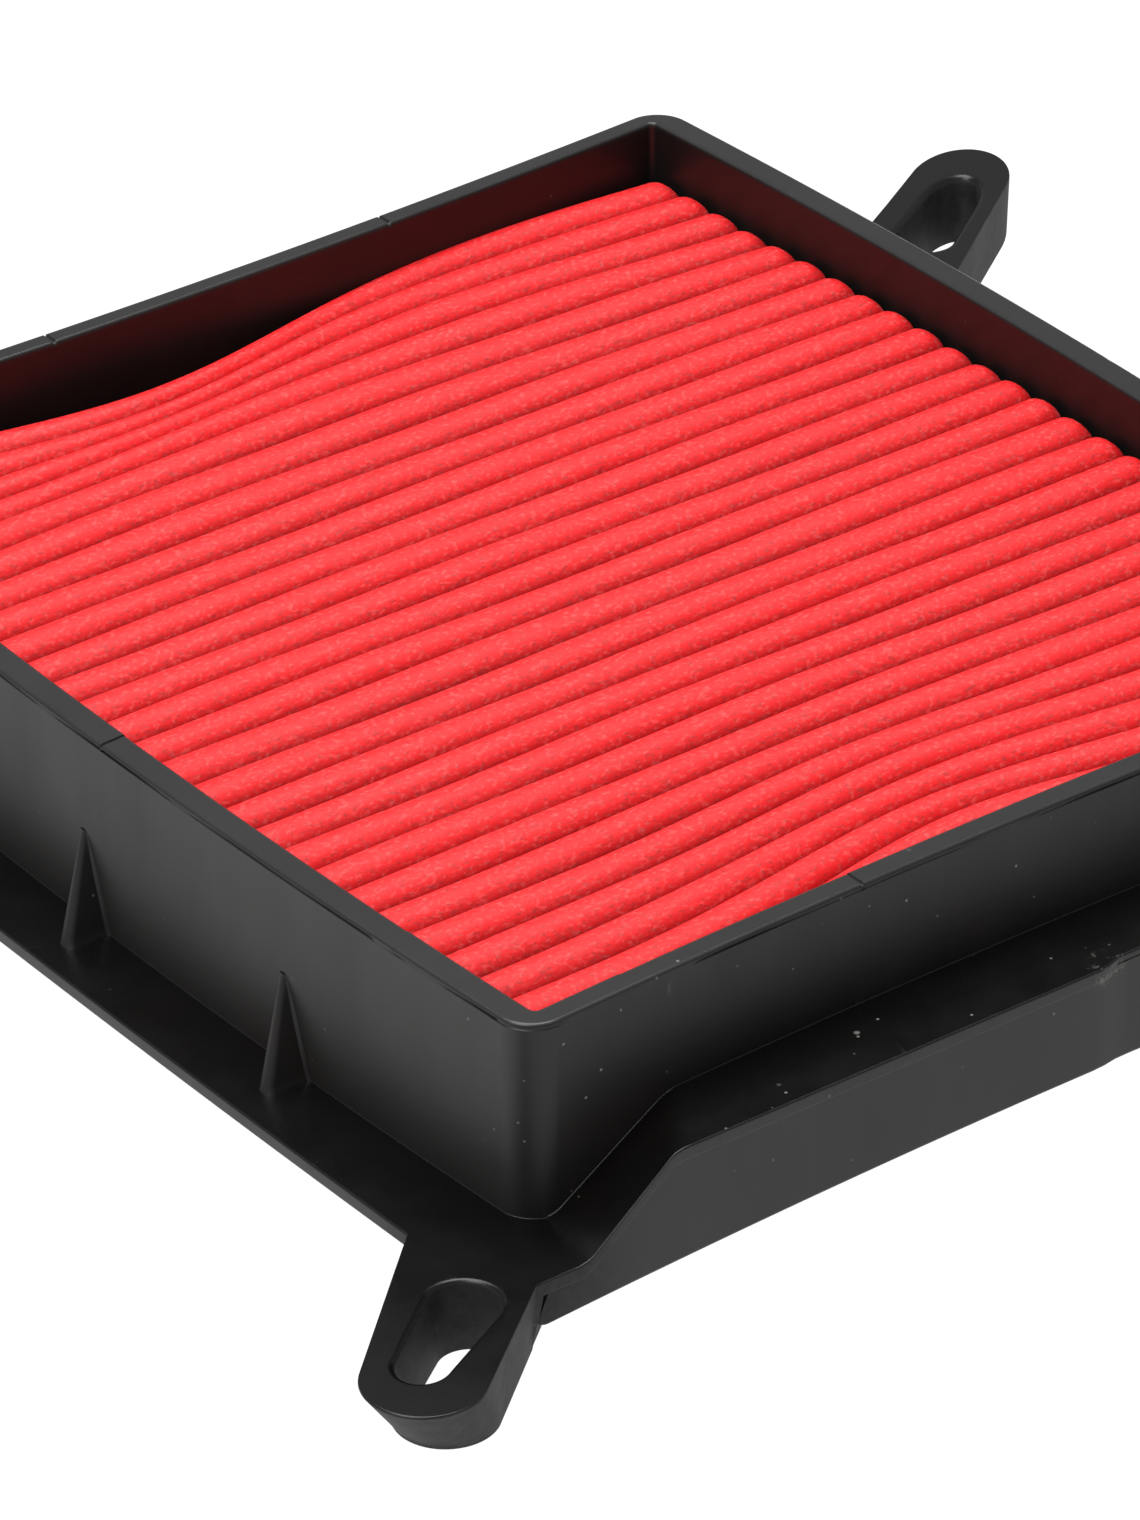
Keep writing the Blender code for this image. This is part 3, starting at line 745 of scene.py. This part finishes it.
def filter_paper(name, pale):
    m = Nodes(name)
    cloud = m.noise(260.0, 3.0, 0.6)
    base = (0.93, 0.008, 0.013) if not pale else (0.90, 0.24, 0.22)
    deep = (0.86, 0.004, 0.008) if not pale else (0.82, 0.14, 0.12)
    colour = m.mix(m.band(cloud, 0.3, 0.7), deep, base)
    # painted shade: the paper is painted a darker red low down in the creases between the folds
    crease = m.band(m.split(m.place)["Z"], 0.0300, 0.0284)
    colour = m.mix(crease, colour, (0.46, 0.003, 0.005) if not pale else (0.6, 0.08, 0.07))
    # fine fibres: stretched specks in three directions
    fibres = None
    for turn, scale in ((0.5, 2000.0), (-0.7, 2500.0), (1.5, 2200.0)):
        turned = m.stretch((0.4, 1.0, 1.0), (turn, 0.3 * turn, turn))
        speck = m.band(m.noise(scale, 1.0, 0.4, turned), 0.60, 0.74)
        fibres = speck if fibres is None else m.math("MAXIMUM", fibres, speck)
    colour = m.mix(m.math("MULTIPLY", fibres, 0.42), colour, (0.16, 0.02, 0.02))
    turned = m.stretch((0.6, 1.0, 1.0), (0.2, 0.1, -0.4))
    light = m.band(m.noise(2000.0, 2.0, 0.5, turned), 0.52, 0.72)
    colour = m.mix(m.math("MULTIPLY", light, 0.22), colour, (1.0, 0.26, 0.24))
    bumps = m.math("MULTIPLY", m.noise(500.0, 2.0, 0.5), 0.8)
    bumps = m.math("ADD", m.noise(2200.0, 3.0, 0.65), bumps)
    normal = m.bump(bumps, 0.3, 0.00018)
    return m.finish(colour, m.band(cloud, 0.3, 0.7, 0.52, 0.64), normal, Specular_IOR_Level=0.6)


def foam():
    m = Nodes("closed_cell_foam")
    cell = m.spots(950.0)
    colour = m.mix(m.band(cell, 0.1, 0.5), (0.006, 0.006, 0.006), (0.028, 0.028, 0.029))
    normal = m.bump(cell, 0.6, 0.0004)
    rough = m.band(m.noise(200.0), 0.3, 0.7, 0.85, 0.97)
    return m.finish(colour, rough, normal, Specular_IOR_Level=0.25)


def potting():
    m = Nodes("dark_potting")
    cloud = m.noise(150.0, 3.0, 0.6)
    colour = m.mix(m.band(cloud, 0.35, 0.65), (0.012, 0.008, 0.008), (0.03, 0.016, 0.014))
    normal = m.bump(m.noise(260.0, 2.0), 0.4, 0.0006)
    return m.finish(colour, m.band(cloud, 0.3, 0.7, 0.3, 0.5), normal)


def hot_melt():
    m = Nodes("cream_hot_melt")
    cloud = m.noise(220.0, 3.0, 0.6)
    colour = m.mix(m.band(cloud, 0.35, 0.65), (0.55, 0.46, 0.30), (0.74, 0.68, 0.52))
    normal = m.bump(m.noise(300.0, 2.0), 0.5, 0.0006)
    return m.finish(colour, m.band(cloud, 0.3, 0.7, 0.28, 0.45), normal, Subsurface_Weight=0.1)


def zinc_wire():
    m = Nodes("zinc_plated_wire")
    cloud = m.noise(400.0, 3.0, 0.6)
    colour = m.mix(m.band(cloud, 0.35, 0.65), (0.42, 0.42, 0.43), (0.62, 0.62, 0.62))
    normal = m.bump(cloud, 0.2, 0.0001)
    return m.finish(colour, m.band(cloud, 0.3, 0.7, 0.25, 0.5), normal, Metallic=1.0)


def floor_paper():
    m = Nodes("pale_sweep")
    cloud = m.noise(3.0, 2.0, 0.5)
    colour = m.mix(m.band(cloud, 0.3, 0.7), (0.07, 0.07, 0.07), (0.08, 0.08, 0.08))
    return m.finish(colour, 0.9, m.bump(m.noise(900.0, 2.0), 0.03, 0.0002), Specular_IOR_Level=0.1,
                    Emission_Color=(1.0, 1.0, 1.0, 1.0), Emission_Strength=1.02)


# ---- casing ----
plastic = casing_plastic()
body = tube_mesh([section(st) for st in stations()], True)
casing = new_object("casing_moulding", *body, [plastic])
fix_normals(casing)
for number, slot in enumerate((NEAR_SLOT, FAR_SLOT), 1):
    cutter = new_object(f"slot_cutter_{number}", *slot_cutter(slot), [plastic])
    fix_normals(cutter)
    cut = casing.modifiers.new(f"slot_{number}", "BOOLEAN")
    cut.operation, cut.solver, cut.object = "DIFFERENCE", "EXACT", cutter
    bpy.context.view_layer.update()
    graph = bpy.context.evaluated_depsgraph_get()
    carved = bpy.data.meshes.new_from_object(casing.evaluated_get(graph))
    casing.modifiers.clear()
    casing.data = carved
    bpy.data.objects.remove(cutter, do_unlink=True)
casing.data.name = "casing_moulding"
extras = merge([*(gusset_mesh(y) for y in GUSSET_FEET), apron_mesh(), ear_web_mesh(),
                *(bar_mesh(x) for x in BARS_X)])
trim = new_object("casing_ribs_and_apron", *extras, [plastic])
fix_normals(trim)
for obj in (casing, trim):
    obj.data.set_sharp_from_angle(angle=math.radians(38.0))
    even = obj.modifiers.new("flat_faces", "WEIGHTED_NORMAL")
    even.keep_sharp = True

# ---- pleated paper ----
LAST = PLEATS - 1


def crest_y(i, x):
    """Middle of crest i (0 is the nearest) at x: even folds, crowded and bent at both ends."""
    centre = FIRST_CREST + PITCH * i + 0.75 * math.sin(math.pi * i / LAST)
    centre += 0.55 * math.exp(-(i - 12) / 7.0) if i >= 12 else -0.25 * math.exp((i - 11) / 3.0)
    near = 7.1 * math.exp(-((i / 4.1) ** 1.3)) * math.exp(-(((x - 77.0) / 31.0) ** 2))
    s = LAST - i
    share = min(max((x - 3.0) / 140.0, 0.0), 1.0)
    spread = 3.6 * math.sin(math.pi * share) / (1.0 + (s / 5.0) ** 4)
    squeeze = -9.3 * max(0.0, 1.0 - s / 3.8) * math.exp(-(((x - 60.0 + 5.0 * s) / 33.0) ** 2))
    return centre + near + spread + squeeze


def crest_z(i, x):
    """Small unevenness of the fold tops."""
    wave = 0.12 * math.sin(x * 0.11 + i * 1.7) + 0.10 * math.sin(x * 0.043 - i * 0.9)
    return PAPER_TOP - 0.25 + wave


def inner_x(side, y):
    bulge = bowed(y, CORNER_R, RIM_Y - CORNER_R, BOW[side])
    return WALL["left"] - bulge if side == "left" else RIM_X - WALL["right"] + bulge


def pleat_rows(u):
    """Section of the folded sheet across y at fraction u from left to right wall."""
    guess = lerp(4.0, 146.0, u)
    ys = [crest_y(i, guess) for i in range(PLEATS)]
    low_r, n = 2.0, 9
    row = []

    def place(y, z, top=0.0):
        left, right = inner_x("left", y) + 0.95, inner_x("right", y) - 0.95
        x = lerp(left, right, u)
        # the folds close down a little over their last millimetres at either wall
        end = max(0.0, 1.0 - min(u * (right - left), (1.0 - u) * (right - left)) / 2.2)
        z -= 0.95 * end ** 2 * top
        row.append((x, y, z))

    for i in range(PLEATS):
        half_before = (ys[i] - ys[i - 1]) / 2 if i else 2.9
        half_after = (ys[i + 1] - ys[i]) / 2 if i < LAST else 2.75
        top = crest_z(i, guess)
        lean_before, lean_after = (half_before * 0.93 - 0.16), (half_after * 0.93 - 0.16)
        if i == 0:
            place(ys[0] - half_before + 0.1, PAPER_LOW + 0.6)
            place(ys[0] - half_before + 0.2, (PAPER_LOW + top) / 2)
        for k in range(n + 1):
            a = math.pi * k / n
            reach = lean_before if k * 2 < n else lean_after
            place(ys[i] - reach * math.cos(a), top - FOLD_R + FOLD_R * math.sin(a),
                  max(0.0, math.sin(a)) + 0.25)
        if i < LAST:
            mid = (ys[i] + ys[i + 1]) / 2
            place(ys[i] + lean_after * 0.985, top - FOLD_R - 1.5)
            place(mid - half_after * 0.45, (PAPER_LOW + top) / 2)
            for k in range(5):
                a = math.pi * k / 4
                place(mid - 0.92 * half_after * math.cos(a) * 0.95,
                      PAPER_LOW + low_r - low_r * math.sin(a))
            place(mid + half_after * 0.45, (PAPER_LOW + top) / 2)
            place(ys[i + 1] - lean_after * 0.985, top - FOLD_R - 1.5)
        else:
            place(ys[i] + half_after - 0.2, (PAPER_LOW + top) / 2)
            place(ys[i] + half_after - 0.1, PAPER_LOW + 0.6)
    return row


steps = [0.0, 0.002, 0.005, 0.009, 0.014, 0.02, *np.linspace(0.03, 0.97, 105),
         0.98, 0.986, 0.991, 0.995, 0.998, 1.0]
columns = [pleat_rows(u) for u in steps]
sheet_points = [p for column in columns for p in column]
sheet_faces = grid_faces(len(columns), len(columns[0]))
red, cut_red = filter_paper("red_filter_paper", False), filter_paper("cut_paper_edge", True)
paper = new_object("folded_paper", sheet_points, sheet_faces, [red, cut_red])
thick = paper.modifiers.new("sheet", "SOLIDIFY")
thick.thickness, thick.offset = SHEET_T / 1000.0, 0.0
thick.material_offset_rim = 1
thick.use_even_offset = False

# ---- potting, beads, screen and gasket ----
dark = potting()


def side_potting(side):
    sign = 1.0 if side == "left" else -1.0
    sections = []
    for y in np.linspace(5.6, 166.2, 260):
        lump = 0.16 * math.sin(y * 1.047 + 0.6) + 0.1 * math.sin(y * 0.61)
        wall_x = inner_x(side, y) + sign * 0.05
        high = 26.6 + 0.5 * math.sin(y * 1.047) + 0.25 * math.sin(y * 0.37)
        width = 0.8 + lump * 0.5
        sections.append([(wall_x, y, 7.7), (wall_x + sign * width, y, 7.7),
                         (wall_x + sign * width, y, high - 0.4), (wall_x + sign * width * 0.7, y, high),
                         (wall_x, y, high + 0.5)])
    return tube_mesh(sections, False)


def end_bead(side):
    sections = []
    for x in np.linspace(6.2, 143.8, 120):
        bulge = bowed(x, CORNER_R, RIM_X - CORNER_R, BOW[side])
        wave = 0.18 * math.sin(x * 0.9) + 0.12 * math.sin(x * 0.31)
        if side == "near":
            wall_y, pack_y = WALL["near"] - bulge + 0.05, crest_y(0, x) - 2.9
            pack_y = max(pack_y, wall_y + 0.5)
        else:
            wall_y, pack_y = RIM_Y - WALL["far"] + bulge - 0.05, crest_y(LAST, x) + 2.75
            pack_y = min(pack_y, wall_y - 0.5)
        high = 11.2 + wave
        sections.append([(x, wall_y, 7.7), (x, pack_y, 7.7), (x, pack_y, high - 0.6),
                         (x, lerp(pack_y, wall_y, 0.4), high - 0.8), (x, wall_y, high + 0.3)])
    return tube_mesh(sections, False)


def melt_bead(x):
    """Bead that sags a little between the fold tips it crosses."""
    sections = []
    for k, y in enumerate(np.linspace(8.8, 162.4, 300)):
        wave = math.sin(2 * math.pi * (y - FIRST_CREST) / PITCH)
        half = 1.35 + 0.15 * wave + 0.1 * math.sin(y * 0.23 + x)
        low, high = 7.68, 9.05 + 0.12 * wave
        drift = 0.35 * math.sin(y * 0.045 + x)
        ring = []
        for j in range(12):
            a = 2 * math.pi * j / 12
            z = (low + high) / 2 + (high - low) / 2 * math.sin(a)
            ring.append((x + drift + half * math.cos(a), y, z))
        sections.append(ring)
    return tube_mesh(sections, False)


def wire_mesh():
    """Woven square screen: each wire passes over and under the ones it crosses."""
    low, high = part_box("backing_screen")
    x0, y0 = low[0] * 1000.0 + OFFSET_X, low[1] * 1000.0 + OFFSET_Y
    x1, y1 = high[0] * 1000.0 + OFFSET_X, high[1] * 1000.0 + OFFSET_Y
    mid_z = (low[2] + high[2]) * 500.0
    radius, sway = 0.24, 0.15
    count_x, count_y = 48, 54
    pitch_x, pitch_y = (x1 - x0 - 0.8) / count_x, (y1 - y0 - 0.8) / count_y
    parts = []

    def wire(fixed, start, pitch, count, lengthwise, phase):
        sections = []
        for k in range(count * 2 + 1):
            along = start + pitch * k / 2
            lift = sway * math.cos(math.pi * k / 2 + phase)
            ring = []
            for j in range(5):
                a = 2 * math.pi * j / 5
                off, up = radius * math.cos(a), mid_z + lift + radius * math.sin(a)
                ring.append((along, fixed + off, up) if lengthwise else (fixed + off, along, up))
            sections.append(ring)
        return tube_mesh(sections, False)

    for k in range(count_y + 1):
        place, phase = y0 + 0.4 + pitch_y * k, math.pi * (k % 2)
        parts.append(wire(place, x0 + 0.4, pitch_x, count_x, True, phase))
    for k in range(count_x + 1):
        place, phase = x0 + 0.4 + pitch_x * k, math.pi * ((k + 1) % 2)
        parts.append(wire(place, y0 + 0.4, pitch_y, count_y, False, phase))
    return merge(parts)


def gasket_mesh():
    """Foam ring with softly rounded edges and a cut, slightly uneven face."""
    sections = []
    order = [("near_left", 14), ("near", 120), ("near_right", 14), ("right", 130), ("far_right", 14),
             ("far", 120), ("far_left", 14), ("left", 130)]
    for side, count in order:
        for k in range(count):
            t = k / count
            outer = Vector(wall_plan(side, t, (0.0, 0.6), CORNER_R - 0.6))
            inner = Vector(wall_plan(side, t, (1.0, SHELF_W - 0.6), INNER_R))
            across = (inner - outer).normalized()
            width = (inner - outer).length
            wobble = 0.05 * math.sin(k * 0.9) + 0.04 * math.sin(k * 0.37)
            loop = []
            for s, z in ((0.35, GASKET_TOP), (wobble * 0.5, GASKET_TOP - 0.3), (0.0, GASKET_TOP / 2),
                         (0.05, 0.6), (0.3, 0.15), (0.8, 0.0), (width / 2, 0.0), (width - 0.8, 0.0),
                         (width - 0.3, 0.15), (width - 0.05, 0.6), (width, GASKET_TOP / 2),
                         (width - wobble * 0.5, GASKET_TOP - 0.3), (width - 0.35, GASKET_TOP)):
                p = outer + across * s
                loop.append((p.x, p.y, z))
            sections.append(loop)
    return tube_mesh(sections, True)


potting_pieces = {side: new_object(f"potting_strip_{side}", *side_potting(side), [dark])
                  for side in ("left", "right")}
bead_pieces = {side: new_object(f"adhesive_{side}", *end_bead(side), [dark])
               for side in ("near", "far")}
cream = hot_melt()
melt_pieces = [new_object(f"melt_bead_{number}", *melt_bead(x), [cream])
               for number, x in enumerate(MELT_X, 1)]
screen = new_object("woven_screen", *wire_mesh(), [zinc_wire()])
gasket = new_object("foam_ring", *gasket_mesh(), [foam()])
for obj in (*potting_pieces.values(), *bead_pieces.values(), *melt_pieces, screen, gasket):
    fix_normals(obj)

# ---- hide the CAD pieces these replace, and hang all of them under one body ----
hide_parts("casing")
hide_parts("pleated_paper")
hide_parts("foam_gasket")
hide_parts("backing_screen")
for side, obj in potting_pieces.items():
    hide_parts(f"pleat_potting_{side}")
for side, obj in bead_pieces.items():
    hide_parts(f"end_bead_{side}")
for number, obj in enumerate(melt_pieces, 1):
    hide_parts(f"spacer_bead_{number}")
for obj in (casing, trim, paper, gasket, screen,
            *potting_pieces.values(), *bead_pieces.values(), *melt_pieces):
    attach(obj, "root")

# ---- floor, light and camera ----
ground = new_object("floor", [(-3000.0, -3000.0, -0.05), (3200.0, -3000.0, -0.05),
                              (3200.0, 3200.0, -0.05), (-3000.0, 3200.0, -0.05)],
                    [(0, 1, 2, 3)], [floor_paper()], smooth=False)

WORLD_STRENGTH = 0.33
world = bpy.data.worlds.new("studio")
bpy.context.scene.world = world
world.use_nodes = True
world.node_tree.nodes["Background"].inputs["Color"].default_value = (1.0, 1.0, 1.0, 1.0)
world.node_tree.nodes["Background"].inputs["Strength"].default_value = WORLD_STRENGTH


def softbox(name, place, target, size, power):
    data = bpy.data.lights.new(name, "AREA")
    data.shape, data.size, data.size_y, data.energy = "RECTANGLE", size[0], size[1], power
    lamp = bpy.data.objects.new(name, data)
    lamp.location = place
    lamp.rotation_mode = "QUATERNION"
    lamp.rotation_quaternion = (Vector(target) - Vector(place)).to_track_quat("-Z", "Y")
    bpy.context.scene.collection.objects.link(lamp)


softbox("softbox_top", (0.05, 0.2, 1.4), (0.0, 0.0, 0.0), (1.1, 0.9), 19.0)
softbox("softbox_left", (-0.8, -0.2, 1.2), (0.0, 0.0, 0.0), (0.8, 0.8), 8.0)

AZIMUTH, ELEVATION, ROLL = -0.63657, 0.55002, -0.00896
EYE = (-511.422, -701.235, 568.512)          # casing mm, measured from the rim plane
LENS, SENSOR = 217.501, 36.0
right = Vector((math.cos(AZIMUTH), math.sin(AZIMUTH), 0.0))
ahead = Vector((-math.sin(AZIMUTH) * math.cos(ELEVATION), math.cos(AZIMUTH) * math.cos(ELEVATION),
                -math.sin(ELEVATION)))
down = ahead.cross(right)
cr, sr = math.cos(ROLL), math.sin(ROLL)
right, down = cr * right - sr * down, sr * right + cr * down
camera_data = bpy.data.cameras.new("photo_camera")
camera_data.sensor_width, camera_data.lens = SENSOR, LENS
camera_data.clip_start, camera_data.clip_end = 0.05, 50.0
camera = bpy.data.objects.new("photo_camera", camera_data)
eye = metres([(EYE[0], EYE[1], EYE[2] + RIM_Z)])[0]
pose = Matrix((right, -down, -ahead)).transposed().to_4x4()
pose.translation = Vector(eye)
camera.matrix_world = pose
bpy.context.scene.collection.objects.link(camera)
bpy.context.scene.camera = camera
bpy.context.scene.view_settings.view_transform = "Standard"

bpy.context.view_layer.update()
